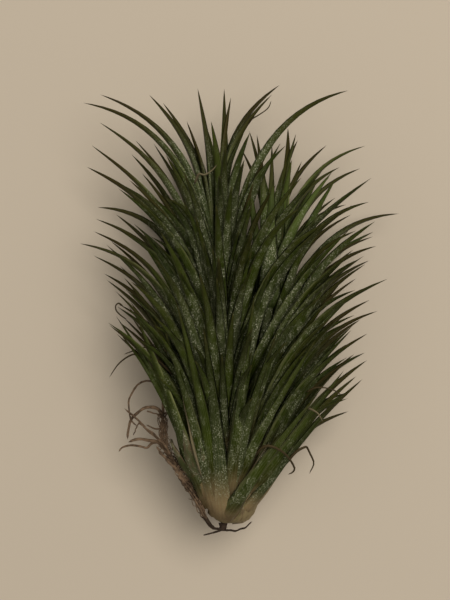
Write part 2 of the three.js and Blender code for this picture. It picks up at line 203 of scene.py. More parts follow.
def wayOut(head, turn):  # straight out of the stem, turned round it from the plant's right
    axis = stemDirection(head)
    right = (Vector((1, 0, 0)) - axis * axis.x).normalized()
    return turned(right, axis, -turn)


leafLine = {  # a (middle, spread) pair gives a draw for each leaf
    "sunk": 1.6,  # how deep its root sits in the stem
    # its two guide points turn off the straight way by a share of its bend, and reach this far along it
    "riseBend": 0.8,
    "riseReach": 0.47,
    "bowBend": 1.2,
    "bowReach": 0.35,
    "lieShare": 0.811,  # where a leaf that comes down to the surface lies on its keel
    "lieHeight": 0.35,
    "twist": (0, 24),
    "curl": (0, 26),
    "width": (1, 0.1),
    "burnt": (0.2, 0.18),
    "freshAge": 0.42,  # leaves older than this share aren't light green
    "fresh": (0.7, 0.3),
}


def lieOnKeel(root, rise, tip):  # the bow's height that brings a leaf down onto the surface near its tip
    share = leafLine["lieShare"]
    rest = 1 - share
    others = rest ** 3 * root.z + 3 * rest ** 2 * share * rise.z + share ** 3 * tip.z
    wanted = leafLine["lieHeight"] - plant["axisHeight"] - others
    return wanted / (3 * rest * share ** 2) + plant["axisHeight"]


def leafFrom(head, height, tip, bend, number):
    look = leafLine
    axis = stemDirection(head)
    heart = stemPoint(head, height)
    out = tip - heart
    radial = (out - axis * out.dot(axis)).normalized()
    root = heart + radial * (stemRadius(head, height) - look["sunk"])
    chord = tip - root
    across = axis.cross(radial).normalized()
    fromRoot = turned(chord, across, -look["riseBend"] * bend) * look["riseReach"]
    fromTip = turned(chord, across, look["bowBend"] * bend) * look["bowReach"]
    rise = keepClear(root + fromRoot, head, "root")
    bow = keepClear(tip - fromTip, head, "bow")
    end = keepClear(tip.copy(), head, "tip")
    if end.z <= clear["tip"][0] - plant["axisHeight"] + 1e-6:  # its tip is down on the surface
        low = lieOnKeel(root, rise, end)
        bow.z = low - plant["axisHeight"]
        keepClear(bow, head, "bow", low)
    age = 1 - (height - head["firstRoot"]) / (head["lastRoot"] - head["firstRoot"])
    return {
        "line": (root, rise, bow, end),
        "across": across,
        "twist": drawn(look["twist"], number, 5),
        "curl": drawn(look["curl"], number, 24),
        "width": drawn(look["width"], number, 6),
        "tint": draw(number, 21),
        "burnt": drawn(look["burnt"], number, 25),
        "age": min(1, max(0, age)),
        "fresh": head["fresh"] * max(0, 1 - age / look["freshAge"]) * drawn(look["fresh"], number, 23),
    }


outline = {  # the leaves that draw the plant's outline
    "depth": 17,  # how far in front of the stem or behind it their tips may come
    "burnt": (0.75, 0.2),
}


def outlineLeaves(head):
    leaves = []
    for row, (x, y, height, bend, *own) in enumerate(head["outline"]):
        number = firstNumber["outline"] + row
        z = own[0] if own else stemPoint(head, height).z + outline["depth"] * draw(number, 8)
        leaf = leafFrom(head, height, Vector((x, y, z)), bend, number)
        leaf["burnt"] = drawn(outline["burnt"], number, 25)
        leaves.append(leaf)
    return leaves


filling = {  # the leaves inside the outline
    "firstTurn": 40,
    "turnSpread": 6,
    # how squarely a leaf may face the plant's edge or the other head before it is left out
    "edgeLimit": 0.84,
    "otherLimit": 0.72,
    "otherHeight": 26,  # under this height it may face the other head
    "splayEnd": 0.5,  # the share of the stem where the splay has faded out
    "bendPerSplay": 0.6,
    "lean": [(0, 30), (0.4, 38), (0.75, 38), (0.9, 26), (1, 8)],
    "leanSpread": 0.14,
    "length": [(0, 82), (0.3, 87), (0.75, 82), (1, 60)],
    "lengthSpread": 0.07,
    "bend": (20, 8),
}


def fillingLeaves(head):
    leaves = []
    look = filling
    axis = stemDirection(head)
    for number in range(head["leaves"]):
        share = (number + 0.5) / head["leaves"]
        height = rootHeight(head, share)
        turn = number * plant["goldenAngle"] + look["firstTurn"] * head["seed"]
        turn += look["turnSpread"] * draw(number, 1 + head["seed"])
        radial = wayOut(head, turn)
        atEdge = radial.x * head["side"] > look["edgeLimit"]
        facesOther = -radial.dot(plant["partingNormal"]) * head["side"] > look["otherLimit"]
        if atEdge or (facesOther and height > look["otherHeight"]):
            continue
        splay = head["splay"] * max(0, -radial.z) ** 2 * max(0, 1 - share / look["splayEnd"])
        lean = rad(along(look["lean"], share) * drawn((1, look["leanSpread"]), number, 3) + splay)
        length = along(look["length"], share) * drawn((1, look["lengthSpread"]), number, 4)
        tip = stemPoint(head, height) + axis * length * math.cos(lean)
        tip += radial * (length * math.sin(lean) + stemRadius(head, height))
        bend = drawn(look["bend"], number, 7) + look["bendPerSplay"] * splay
        leaves.append(leafFrom(head, height, tip, bend, number))
    return leaves


covering = {  # the leaves that lap over the others
    "firstTurn": 25,
    "turnSpread": 14,
    "otherLimit": 0.6,
    "lowest": 0.12,  # they stand only on the side that faces up
    "length": (68, 10),
    "lean": (36, 9),
    "bend": (20, 12),
    "burnt": (0.12, 0.12),
    "width": 0.84,
    "tint": 0.5,
    "fresh": 0.6,
    # the plant's half width to the left and to the right, by height
    "left": [(0, 12), (18, 17), (34, 20), (52, 22), (62, 26), (75, 32), (84, 38), (110, 44), (160, 46),
             (220, 20)],
    "right": [(0, 8), (8, 19), (20, 28), (30, 32), (39, 41), (47, 50), (60, 58), (160, 60), (220, 30)],
}


def coveringLeaves(head):
    leaves = []
    look = covering
    axis = stemDirection(head)
    low, high = head["coveringSpan"]
    least, most = head["coveringRoom"]
    for row in range(head["covering"]):
        number = firstNumber["covering"] + row
        share = low + (high - low) * (row + 0.5) / head["covering"]
        height = rootHeight(head, share)
        turn = row * plant["goldenAngle"] + look["firstTurn"] * head["seed"]
        turn += look["turnSpread"] * draw(number, 31)
        radial = wayOut(head, turn)
        facesOther = -radial.dot(plant["partingNormal"]) * head["side"] > look["otherLimit"]
        if facesOther or radial.z < look["lowest"]:
            continue
        lean = rad(drawn(look["lean"], number, 32))
        heart = stemPoint(head, height) + radial * stemRadius(head, height)
        way = axis * math.cos(lean) + radial * math.sin(lean)
        tip = heart + way * drawn(look["length"], number, 33)
        tip.x = max(least, -along(look["left"], tip.y), min(most, along(look["right"], tip.y), tip.x))
        leaf = leafFrom(head, height, tip, drawn(look["bend"], number, 34), number)
        leaf["width"] *= look["width"]
        leaf["tint"] *= look["tint"]
        leaf["burnt"] = drawn(look["burnt"], number, 35)
        leaf["fresh"] *= look["fresh"]
        leaves.append(leaf)
    return leaves


def frontLeaves(head):  # the leaves that are placed one by one in front
    leaves = []
    for row, (*line, width, green) in enumerate(head["front"]):
        leaf = leafFrom(head, line[0][1], Vector(line[3]), 0, firstNumber["front"] + row)
        leaf["line"] = tuple(Vector(point) for point in line)
        leaf["width"] = width
        leaf["tint"] = green
        leaf["burnt"] = 0.1
        leaves.append(leaf)
    return leaves


# point attributes that the finishes read
marks = ("share", "across", "inner", "tint", "age", "fresh", "burnt", "dry")


# a closed tube along +Z that ends in a point, its rings a little closer there
def straightTemplate(name, sides, steps, crowding=1.15):
    bm = bmesh.new()
    bmesh.ops.create_circle(bm, cap_ends=True, segments=sides, radius=1)
    ring = bm.edges[:]
    for step in range(1, steps + 1):
        grown = bmesh.ops.extrude_edge_only(bm, edges=ring)["geom"]
        corners = [item for item in grown if isinstance(item, bmesh.types.BMVert)]
        ring = [item for item in grown if isinstance(item, bmesh.types.BMEdge)]
        ring = [edge for edge in ring if all(corner in corners for corner in edge.verts)]
        height = 1 - (1 - step / steps) ** crowding
        bmesh.ops.translate(bm, verts=corners, vec=(0, 0, height - corners[0].co.z))
    bmesh.ops.pointmerge(bm, verts=corners, merge_co=(0, 0, 1))
    bmesh.ops.recalc_face_normals(bm, faces=bm.faces)
    template = bpy.data.meshes.new(name)
    bm.to_mesh(template)
    bm.free()
    return template


def startPiece():
    bm = bmesh.new()
    for mark in marks:
        bm.verts.layers.float.new(mark)
    return bm


# adds a bent copy of a template: place gives a corner's point and its own marks, values the other marks
def addBent(bm, template, place, values):
    first = len(bm.verts)
    bm.from_mesh(template)
    bm.verts.ensure_lookup_table()
    layers = {mark: bm.verts.layers.float[mark] for mark in marks}
    rings = {}
    for corner in bm.verts[first:]:
        rings.setdefault(round(corner.co.z, 4), []).append(corner)
    for ring in rings.values():
        for corner in ring:
            point, own = place(corner.co.copy())
            corner.co = inFrame(point)
            for mark, layer in layers.items():
                corner[layer] = own.get(mark, values.get(mark, 0))
        sunk = plant["leastHeight"] * mm - min(corner.co.z for corner in ring)
        if sunk > 0:  # a leaf that touches the surface lies on it
            bmesh.ops.translate(bm, verts=ring, vec=(0, 0, sunk))


def finishPiece(bm, name, material, nodes):
    bmesh.ops.recalc_face_normals(bm, faces=bm.faces)
    for face in bm.faces:
        face.smooth = True
    mesh = bpy.data.meshes.new(name)
    bm.to_mesh(mesh)
    bm.free()
    piece = bpy.data.objects.new(name, mesh)
    bpy.context.scene.collection.objects.link(piece)
    mesh.materials.append(material)
    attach(piece, "root")
    if nodes:
        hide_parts(*nodes)
    print(name, len(mesh.polygons), "faces")


def bezier(line, share):  # a point of a leaf's line and the line's direction there
    a, b, c, d = line
    rest = 1 - share
    point = a * rest ** 3 + b * 3 * rest ** 2 * share + c * 3 * rest * share ** 2 + d * share ** 3
    slope = (b - a) * rest ** 2 + (c - b) * 2 * rest * share + (d - c) * share ** 2
    return point, slope.normalized()


def spline(points, share):  # the same for a smooth line through a list of points
    place = share * (len(points) - 1)
    first = min(int(place), len(points) - 2)
    t = place - first
    a, b, c, d = (points[min(max(first + step, 0), len(points) - 1)] for step in (-1, 0, 1, 2))
    if first == 0:
        a = b * 2 - c
    if first == len(points) - 2:
        d = c * 2 - b
    point = b * 2 + (c - a) * t + (a * 2 - b * 5 + c * 4 - d) * t ** 2 + (b * 3 - a - c * 3 + d) * t ** 3
    slope = (c - a) + (a * 2 - b * 5 + c * 4 - d) * 2 * t + (b * 3 - a - c * 3 + d) * 3 * t ** 2
    return point * 0.5, slope.normalized()


class Wire:  # an output socket that can be reckoned with
    def __init__(self, finish, socket):
        self.finish = finish
        self.socket = socket

    def maths(self, operation, first, second):
        return self.finish.node("Math", {"operation": operation}, {0: first, 1: second})

    def __add__(self, other):
        return self.maths("ADD", self, other)

    def __sub__(self, other):
        return self.maths("SUBTRACT", self, other)

    def __rsub__(self, other):
        return self.maths("SUBTRACT", other, self)

    def __mul__(self, other):
        return self.maths("MULTIPLY", self, other)

    def __abs__(self):
        return self.finish.node("Math", {"operation": "ABSOLUTE"}, {0: self})

    __radd__ = __add__
    __rmul__ = __mul__


class Finish:
    def __init__(self, name):
        self.material = bpy.data.materials.new(name)
        self.material.use_nodes = True
        self.tree = self.material.node_tree
        self.tree.nodes.clear()

    def node(self, kind, settings, sockets, out=0):
        made = self.tree.nodes.new("ShaderNode" + kind)
        for name, value in settings.items():
            setattr(made, name, value)
        for key, value in sockets.items():
            if isinstance(value, Wire):
                self.tree.links.new(value.socket, made.inputs[key])
            else:
                made.inputs[key].default_value = value
        return Wire(self, made.outputs[out])

    def mark(self, name):
        return self.node("Attribute", {"attribute_name": name}, {}, "Fac")

    def between(self, value, low, high):  # 0 under low, 1 over high, or the other way round
        ends = {"Value": value, "From Min": low, "From Max": high}
        return self.node("MapRange", {"interpolation_type": "SMOOTHSTEP"}, ends)

    def place(self):
        return self.node("TexCoord", {}, {}, "Object")

    def grain(self, size, stretch=(1, 1, 1), detail=2.0):  # noise whose blots are about size millimetres
        place = self.node("Mapping", {}, {"Vector": self.place(), "Scale": stretch})
        return self.node("TexNoise", {}, {"Vector": place, "Scale": 1000 / size, "Detail": detail})

    def mix(self, share, first, second):
        colours = {0: share, 6: first, 7: second}
        return self.node("Mix", {"data_type": "RGBA"}, colours, 2)

    def bump(self, height, distance, strength):
        return self.node("Bump", {}, {"Height": height, "Distance": distance * mm, "Strength": strength})

    def surface(self, sockets):
        shader = self.node("BsdfPrincipled", {}, sockets)
        out = self.tree.nodes.new("ShaderNodeOutputMaterial")
        self.tree.links.new(shader.socket, out.inputs["Surface"])
        return self.material


def colour(red, green, blue):
    return (red, green, blue, 1)


leafLook = {
    "dark": colour(0.011, 0.0195, 0.0008),
    "olive": colour(0.031, 0.047, 0.003),
    "fresh": colour(0.096, 0.145, 0.030),
    "worn": colour(0.027, 0.025, 0.004),
    "pale": colour(0.23, 0.165, 0.085),
    "silver": colour(0.50, 0.52, 0.38),
    "bloom": colour(0.15, 0.175, 0.088),
    # pale colour for the painted highlight along leaf edges, also used faintly for the vein lines
    "margin": colour(0.27, 0.29, 0.125),
    "tip": colour(0.037, 0.026, 0.006),
    "withered": colour(0.060, 0.042, 0.020),
    "husk": colour(0.22, 0.175, 0.115),
    # sizes of the patterns
    "mottle": 9,
    "patches": 16,
    "streaks": 3.6,
    "grain": 0.5,
    "scaleSpacing": 0.6,
    "scaleClumps": 2.4,
    "veins": 24,  # how closely the fine lines along a leaf follow one another
    "rough": 0.46,
    "gloss": 0.08,
    "relief": (0.3, 0.6),  # depth and strength
}


def silverScales(f, thick):  # small round scales, each with a brightness of its own
    look = leafLook
    place = f.node("Mapping", {}, {"Vector": f.place(), "Scale": (1, 0.8, 1)})
    sockets = {"Vector": place, "Scale": 1000 / look["scaleSpacing"], "Randomness": 0.9}
    distance = f.node("TexVoronoi", {}, sockets, "Distance")
    bright = f.node("TexVoronoi", {}, sockets, "Color")
    clumps = f.between(f.grain(look["scaleClumps"], (1, 0.7, 1), 1.0), 0.36, 0.58)
    return f.between(distance, 0.6, 0.3) * f.between(bright, 0.1, 0.9) * (clumps + 0.2) * thick


def leafFinish():
    look = leafLook
    f = Finish("silveryGreenLeaf")
    share = f.mark("share")
    inner = f.mark("inner")
    tint = f.mark("tint")
    age = f.mark("age")
    burnt = f.mark("burnt")
    across = f.mark("across")
    edge = abs(across)
    mottle = f.grain(look["mottle"], (1, 0.35, 1), 3.0)
    # mottled green, lighter on young leaves, worn and bleached near the root of old ones
    green = f.mix(f.between(mottle + tint * 0.24, 0.3, 0.75), look["dark"], look["olive"])
    green = f.mix(f.mark("fresh"), green, look["fresh"])
    green = f.mix(f.between(share, 0.42, 0.12) * f.between(age, 0.55, 0.9) * 0.8, green, look["worn"])
    fading = f.between(share + mottle * 0.2 + tint * 0.12, 0.36, 0.12) * f.between(age, 0.75, 1.0)
    green = f.mix(fading, green, look["pale"])
    # pale bloom and silvery scales in patches and streaks, thinner near the root and gone before the tip
    fine = f.grain(look["grain"], (1, 0.6, 1), 1.0)
    streaks = f.grain(look["streaks"], (1, 0.22, 1), 1.0)
    patches = f.grain(look["patches"], (1, 0.5, 1), 1.0) * 0.45 + streaks * 0.55
    grown = f.between(share, 0.08, 0.3)
    young = f.between(age, 0.88, 0.5)
    patches = patches + grown * 0.05 + young * 0.04 - tint * 0.1
    thick = f.between(share, 0.87, 0.44) * f.between(patches, 0.45, 0.58)
    thick = thick * (young * 0.5 + 0.5) * (1 - burnt * 0.4)
    bloom = thick * (fine + inner * 0.1) * (grown * 0.5 + 0.16)
    green = f.mix(bloom, green, look["bloom"])
    scales = silverScales(f, 0.06 + thick * (grown * 0.86 + 0.04))
    green = f.mix(scales, green, look["silver"])
    # painted highlight along the leaf edges, painted shadow at the edges by the root, and the end flushed
    # brown
    rim = f.between(edge, 0.78, 0.97) * f.between(patches, 0.65, 0.4) * f.between(share, 1.0, 0.6)
    # painted highlight: the pale edge lines stand for light caught along the leaf edges
    green = f.mix(rim * 0.85, green, look["margin"])
    # painted shadow: a dark line at the edges near the root stands for the shade between lapping leaf bases
    green = f.mix(f.between(edge, 0.93, 1.0) * f.between(share, 0.5, 0.2) * 0.7, green, look["dark"])
    flushed = f.between(share + mottle * 0.25, 0.5, 0.97) * burnt
    green = f.mix(flushed, green, look["tip"])
    green = f.mix(f.between(share, 0.87, 1.0) * 0.6, green, look["tip"])
    husk = f.mix(f.between(tint, 0.4, 0.6), look["withered"], look["husk"])
    skin = f.mix(f.mark("dry"), green, husk)
    veins = f.node("Math", {"operation": "SINE"}, {0: across * look["veins"] + mottle * 4})
    skin = f.mix(f.between(veins, 0.2, 1.0) * 0.1, skin, look["margin"])
    relief = scales * 0.8 + veins * 0.15 + fine * 0.2
    return f.surface({
        "Base Color": skin,
        "Roughness": look["rough"] + scales * 0.3 + inner * 0.08,
        "Normal": f.bump(relief, *look["relief"]),
        "Specular IOR Level": look["gloss"],
    })


sheathLook = {
    "cream": colour(0.21, 0.165, 0.08),
    "green": colour(0.040, 0.052, 0.009),
    "brown": colour(0.10, 0.062, 0.032),
    "husk": colour(0.34, 0.28, 0.18),
    "silver": colour(0.42, 0.42, 0.31),
    "bloom": colour(0.19, 0.18, 0.115),
    # sizes of the patterns
    "fibres": 1.3,
    "blots": 7,
    "streaks": 2.2,
    "rough": 0.6,
    "gloss": 0.3,
    "relief": (0.35, 0.6),
}


def sheathFinish():
    look = sheathLook
    f = Finish("paperySheath")
    share = f.mark("share")
    greenness = f.mark("tint")
    edge = abs(f.mark("across"))
    fibres = f.grain(look["fibres"], (1, 0.12, 1), 3.0)
    blots = f.grain(look["blots"], (1, 0.6, 1), 3.0)
    streaks = f.grain(look["streaks"], (1, 0.1, 1), 2.0)
    # cream at the foot and green further up, with the leaves' bloom and scales
    fade = share + blots * 0.3 + streaks * 0.3 + greenness * 0.34
    skin = f.mix(f.between(fade, 0.55, 0.9), look["cream"], look["green"])
    thick = f.between(share, 0.02, 0.2) * f.between(blots, 0.35, 0.6)
    skin = f.mix(thick * 0.35, skin, look["bloom"])
    scales = silverScales(f, thick * 0.75)
    skin = f.mix(scales, skin, look["silver"])
    # dry papery edges, brown fibres and brown blots along the edges
    papery = f.between(edge + blots * 0.3, 0.98, 1.16) * 0.8
    skin = f.mix(papery, skin, look["husk"])
    skin = f.mix(f.between(fibres + edge * 0.08, 0.5, 0.75) * 0.7, skin, look["brown"])
    skin = f.mix(f.between(edge, 0.9, 1.0) * f.between(blots, 0.6, 0.4) * 0.7, skin, look["brown"])
    return f.surface({
        "Base Color": skin,
        "Roughness": look["rough"] + papery * 0.2 + fibres * 0.1,
        "Normal": f.bump(fibres + scales * 0.4, *look["relief"]),
        "Specular IOR Level": look["gloss"],
    })


rootLook = {
    "light": colour(0.20, 0.135, 0.085),
    "dark": colour(0.055, 0.035, 0.021),
    "foot": colour(0.020, 0.013, 0.009),
    "footEdge": (-0.09, -0.096),  # where along Y the foot's dark colour sets in and is full
    # sizes of the patterns
    "bark": 1.6,
    "blots": 9,
    "rough": 0.8,
    "gloss": 0.25,
    "relief": (0.3, 0.8),
}


def rootFinish():
    look = rootLook
    f = Finish("wiryRoot")
    bark = f.grain(look["bark"], detail=4.0)
    blots = f.grain(look["blots"])
    skin = f.mix(f.between(bark * 0.5 + blots * 0.5, 0.38, 0.62), look["dark"], look["light"])
    height = f.node("SeparateXYZ", {}, {"Vector": f.place()}, "Y")
    skin = f.mix(f.between(height, *look["footEdge"]) * 0.85, skin, look["foot"])
    return f.surface({
        "Base Color": skin,
        "Roughness": look["rough"] + bark * 0.1,
        "Normal": f.bump(bark, *look["relief"]),
        "Specular IOR Level": look["gloss"],
    })


leafShape = {
    "sides": 8,
    "steps": (16, 10),  # for a leaf of the outline and for any other
    "width": [(0, 8.8), (0.12, 7.8), (0.3, 6.4), (0.5, 4.9), (0.7, 3.3), (0.85, 2), (0.95, 1), (1, 0)],
    "thick": [(0, 1.3), (0.5, 0.9), (0.85, 0.55), (1, 0.1)],
    "channel": [(0, 0.2), (0.4, 0.34), (1, 0.4)],  # depth as a share of the width
    "lift": 0.3,  # how far the edges stand above the leaf's line
    "thinning": 0.7,  # the share of its thickness that it loses by its edges
}


def onKeelSide(corner):  # whether a template's corner is on the outer side
    return corner.y > 0.1


def leafPlace(leaf):
    shape = leafShape

    def place(corner):
        share = corner.z
        point, tangent = bezier(leaf["line"], share)
        across = (leaf["across"] - tangent * leaf["across"].dot(tangent)).normalized()
        across = turned(across, tangent, leaf["twist"] * share + leaf["curl"] * share ** 2)
        under = across.cross(tangent)
        width = along(shape["width"], share) * leaf["width"]
        side = max(-1, min(1, corner.x))
        depth = along(shape["channel"], share) * width * (1 - side ** 2) - shape["lift"] * (1 - share)
        outer = onKeelSide(corner)
        if outer:
            depth += along(shape["thick"], share) * (1 - shape["thinning"] * abs(side))
        point = point + across * (0.5 * width * side) + under * depth
        return point, {"share": share, "across": side, "inner": 0 if outer else 1}

    return place


coreShape = {"radius": 0.94, "steps": 14}  # its radius is a share of the stem's


def addCore(bm, head):  # the mass of clasping leaf bases that the blades stand out of
    core = bmesh.new()
    length = (head["top"] - head["foot"]).length
    corners = [core.verts.new((radius * coreShape["radius"], 0, share * length))
               for share, radius in head["profile"]]
    corners = [core.verts.new((0, 0, 0))] + corners + [core.verts.new((0, 0, length))]
    edges = [core.edges.new(pair) for pair in zip(corners, corners[1:])]
    bmesh.ops.spin(core, geom=corners + edges, cent=(0, 0, 0), axis=(0, 0, 1), angle=rad(360),
                   steps=coreShape["steps"], use_merge=True)
    bmesh.ops.remove_doubles(core, verts=core.verts, dist=0.001)
    bmesh.ops.recalc_face_normals(core, faces=core.faces)
    mesh = bpy.data.meshes.new("core")
    core.to_mesh(mesh)
    core.free()
    turn = Vector((0, 0, 1)).rotation_difference(stemDirection(head))

    def place(corner):
        return turn @ corner + head["foot"], {"share": 0.3, "across": 0, "inner": 1}

    addBent(bm, mesh, place, {"tint": -1, "age": 0.5})


def makeHead(name, head, nodes, templates, material):
    bm = startPiece()
    addCore(bm, head)
    outer = outlineLeaves(head)
    inner = fillingLeaves(head) + coveringLeaves(head) + frontLeaves(head)
    for leaves, template in ((outer, templates[0]), (inner, templates[1])):
        for leaf in leaves:
            values = {mark: leaf[mark] for mark in ("tint", "age", "fresh", "burnt")}
            addBent(bm, template, leafPlace(leaf), values)
    print(name, len(outer) + len(inner), "leaves")
    finishPiece(bm, name, material, nodes)


sheaths = {
    "middle": Vector((4.5, 0, -3)),
    # half the length and half the width of the rim's oval, which is turned to reach under both stems
    "long": 12.8,
    "short": 9.4,
    "slant": math.degrees(math.atan2(7, 9)),
    # the bowl from the middle of its underside: how far along the way, its half width's share, its height
    "bowl": [(0, 0, -1.8), (0.25, 0.42, -1.3), (0.55, 0.7, 0.5), (0.8, 0.87, 3.4), (1, 0.98, 7)],
    "rim": 7,
    # how far out of the rim's own oval the papers stand, by height, and the share lost at its short ends
    "flare": [(7, 0), (11, 3.7), (18, 8.7), (24, 13.2), (34, 19), (44, 23.5), (56, 29)],
    "loss": [(7, 0.28), (24, 0.28), (56, 0.42)],
    "thick": 0.5,
    "columns": 6,
    "rows": 16,
    "bowlRows": 0.26,  # the share of a sheath that lies in the bowl
    "taper": 0.25,
    "widest": 0.7,  # half of a sheath's width in radians round the bowl, at most
    "tilt": 0.3,  # how far one edge lies over the next sheath
    "bulge": 0.9,
    "bulgeLoss": 0.3,  # the share of the bulge that it loses by its tip
    "sunk": 0.5,
    "greenHeight": 45,  # where the finish takes a sheath's way up to end
    # where round the bowl each paper stands, how far it swings aside by its tip, its height and width, how
    # far out it lies, and how green it is
    "papers": [
        (-20, -6, 40, 12, 0.1, 0.5), (2, 4, 35, 11, -0.3, 0.2), (-48, 3, 38, 12, -0.2, 0.4),
        (-78, -5, 42, 12, 0.1, 0.6), (-108, 4, 34, 12, -0.3, 0.2), (-135, -4, 36, 12, -0.2, 0.5),
        (212, 5, 30, 10, -0.9, 0.1), (192, -6, 36, 13, -0.8, 0.8), (170, -2, 42, 10, -0.2, 0.5),
        (154, 3, 34, 10, 0, 0.1), (136, 5, 27, 11, -0.6, 0), (122, -6, 38, 10, -0.9, 0.4),
        (112, -30, 36, 12, -0.2, 1), (82, -16, 36, 10, -0.3, 0.2), (58, -8, 42, 11, 0.1, 0.6),
        (38, -4, 38, 11, -0.6, 0.1), (22, 0, 40, 10, -0.3, 0.3),
    ],
}


def sheathPoint(turn, out, past, up):  # out is a share of the rim's oval, past is how far beyond it
    look = sheaths
    x = out * look["long"] * math.cos(turn)
    z = out * look["short"] * math.sin(turn)
    away = Vector((math.cos(turn) / look["long"], math.sin(turn) / look["short"])).normalized()
    past *= 1 - along(look["loss"], up) * math.sin(turn) ** 2
    point = Vector((x + away.x * past, up, z + away.y * past))
    return turned(point, Vector((0, 1, 0)), look["slant"]) + look["middle"]


def makeSheaths(material):
    look = sheaths
    bm = startPiece()
    layers = bm.verts.layers.float
    bowlRows = look["bowlRows"]
    for turn, swing, height, width, layer, green in look["papers"]:
        made = bmesh.ops.create_grid(bm, x_segments=look["columns"], y_segments=look["rows"], size=1)
        for corner in made["verts"]:
            side, rise = corner.co.x, (corner.co.y + 1) / 2
            below = rise / bowlRows
            if below < 1:
                reach = 0.01 + 0.99 * below  # just off the middle, so that the first row isn't one point
                out = along([(way, out) for way, out, _ in look["bowl"]], reach)
                up = along([(way, up) for way, _, up in look["bowl"]], reach)
                past = 0
            else:
                out = 1
                up = look["rim"] + (height - look["rim"]) * (rise - bowlRows) / (1 - bowlRows)
                past = along(look["flare"], up)
            share = max(0, up / height)
            half = 0.5 * width * (1 - look["taper"] * share) * (1 - share ** 3)
            radius = out * (look["long"] + look["short"]) / 2 + past
            angle = rad(turn + swing * share) + side * min(half / max(radius, 0.1), look["widest"])
            bulge = look["bulge"] * (1 - side ** 2) * (1 - look["bulgeLoss"] * share)
            lap = layer + look["tilt"] * side + bulge - look["sunk"]
            lap *= min(1, out * 1.2)  # less towards the bowl's middle
            corner.co = inFrame(sheathPoint(angle, out, past + lap, up))
            corner[layers["share"]] = max(0, up / look["greenHeight"])
            corner[layers["across"]] = side
            corner[layers["tint"]] = green
    bmesh.ops.recalc_face_normals(bm, faces=bm.faces)
    bmesh.ops.solidify(bm, geom=bm.faces[:], thickness=look["thick"] * mm)
    finishPiece(bm, "baseSheathPapers", material, ["base_sheaths"])


roots = {
    "sides": 6,
    "steps": 22,
    "taper": 0.45,  # the share of its thickness that a root loses by its end
    "wave": 0.35,  # how far it wavers
    "waveTurn": 19,  # in radians over its length
    "tip": (0.97, 0.4),  # from this share on it is only this thick
    "strands": 4,  # the trunk root is a few strands wound side by side
    "strandReach": 0.85,
    "strandTurn": 0.7,  # in radians from one point of the trunk to the next
    "fibres": 60,  # fine fibres that cling along the trunk root
    "fibreSpan": (0.12, 0.8),  # where the first one starts, and over how much of the trunk they spread
    "fibreSteps": 5,
    "fibreStep": 0.055,
    "loose": (1.2, 0.55),  # how far they stand off at the start, and how much more with each step
    "kinds": {  # each kind's radius, raggedness and the number that its draws start from
        "strand": (0.46, 0.12, 60),
        "single": (0.6, 0.12, 0),  # its radius is a share of its line's thickness
        "fine": (0.4, 0.15, 20),
        "fibre": (0.28, 0.1, 40),
        "stub": (2.4, 0.08, 90),
    },
    "stub": [(0.5, -1.5, -1), (0.5, -2.6, -1), (0.5, -3.8, -1), (0.5, -5.2, -1)],
    "lines": [  # thickness, then the middle line from where the root leaves the others
        (2, [(0.5, -4, -1), (-4, -3.6, 0.5), (-7.2, 1, 3), (-10.6, 8, 5), (-15, 15, 6.5), (-18.4, 21, 6.5),
             (-21.4, 26.5, 6), (-24.4, 31, 5), (-26, 38, 3), (-26.5, 47, 1)]),
        (1.1, [(-26.5, 46, 1), (-26.8, 55, 0), (-29.3, 61.2, -1), (-33.3, 62.6, -1), (-37.8, 60.8, 0),
               (-40.5, 57.2, 1), (-41.9, 53.6, 2), (-41.6, 49, 3), (-40.5, 45, 4), (-37.4, 42.1, 4)]),
        (1.6, [(-26.3, 46, 1), (-28, 49.4, 3), (-30.6, 50.9, 4), (-34.2, 50.9, 5), (-37.8, 48.6, 5),
               (-40, 46.4, 4), (-41.4, 43.2, 3), (-42.3, 39.6, 2), (-42.3, 36.2, 2)]),
        (1.3, [(-21.4, 26.5, 6), (-24.8, 33.2, 6.5), (-28.8, 37.4, 6.5), (-32.9, 40.5, 7), (-35.6, 43.7, 7),
               (-39.6, 47.3, 7), (-43.7, 50.9, 8)]),
        (1, [(-26.4, 46, 1), (-27.4, 41.6, 0), (-30.2, 41, -1), (-34.2, 42.8, -2)]),
        (1.8, [(-21.4, 26.5, 6), (-25.4, 32, 3), (-29.3, 35.1, 0), (-34.2, 36, -1), (-38.7, 36.2, -1),
               (-42.3, 34.9, -1)]),
        (1.2, [(-29.3, 35.1, 0), (-32, 34.2, -2), (-33.8, 32.2, -3), (-36.9, 32.9, -3), (-41, 33.3, -4),
               (-45, 32.4, -4), (-46.8, 30.2, -4)]),
        (1, [(-24.4, 31, 5), (-26.4, 33.6, 0), (-27.3, 36.9, -4), (-27.1, 41.6, 0)]),
        (1.5, [(-18.4, 21, 6.5), (-23.2, 26.6, 9), (-26.8, 30.4, 8.6), (-29.3, 33.8, 7)]),
        (1, [(0.5, -4.4, -1), (-4, -5.6, 1), (-8.5, -6.6, 2)]),
        (1, [(0.5, -4.4, -1), (4.5, -4.4, 3), (9.5, -3, 6.5), (13.5, 0.5, 9)]),
    ],
    "fineLines": [  # thin ones that tangle between the loops
        [(-37.2, 44.4, 8), (-32.7, 41.1, 8), (-29.2, 38.6, 8), (-26, 34.7, 7.5), (-22.6, 30.5, 7)],
        [(-25.2, 35, 4), (-26.9, 39.2, 5.5), (-26.4, 41.8, 5), (-24.6, 44.4, 3), (-26.2, 46.6, 1)],
        [(-33.5, 49.2, 4), (-29.8, 48.2, 5), (-27.3, 47.2, 4), (-26.2, 46.4, 1.5)],
        [(-36.6, 44.6, 7), (-38.2, 42.2, 6.4), (-38.9, 40.2, 4.6), (-39.8, 38.4, 3)],
    ],
}


